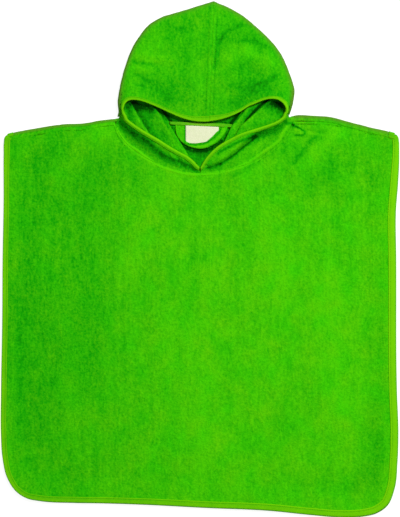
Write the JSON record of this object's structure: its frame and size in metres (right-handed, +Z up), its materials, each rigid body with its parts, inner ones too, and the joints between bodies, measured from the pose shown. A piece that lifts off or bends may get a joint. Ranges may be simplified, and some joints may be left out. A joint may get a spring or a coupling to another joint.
{
  "type": "hooded bath poncho",
  "caption": "Hooded terry bath poncho laid flat, open sides with rounded lower corners, bound edges, a spread hood with an open mouth and a blank neck label.",
  "frame": {"origin": "on the floor under the middle of the garment's box, inside the back panel's flat underside", "axes": "+X towards the right edge as seen from above with the front up, +Y from the hem towards the tip of the hood, +Z up from the floor through the garment"},
  "size_m": [0.5992, 0.7769, 0.0235],
  "materials": {
    "terry": "looped cotton terry, matt, bright green",
    "binding": "smooth folded cotton tape, slightly yellower green, stitched along its inner edge",
    "facing": "smooth side of the terry",
    "tape": "narrow woven cotton tape",
    "label": "cream woven label, left blank"
  },
  "bodies": {
    "root": {"back_panel": "terry", "front_panel": "terry", "hood_left": "terry", "hood_right": "terry", "hood_binding": "binding", "front_binding": "binding", "back_binding": "binding", "neck_facing": "facing", "neck_tape": "tape", "label": "label"}
  },
  "joints": []
}
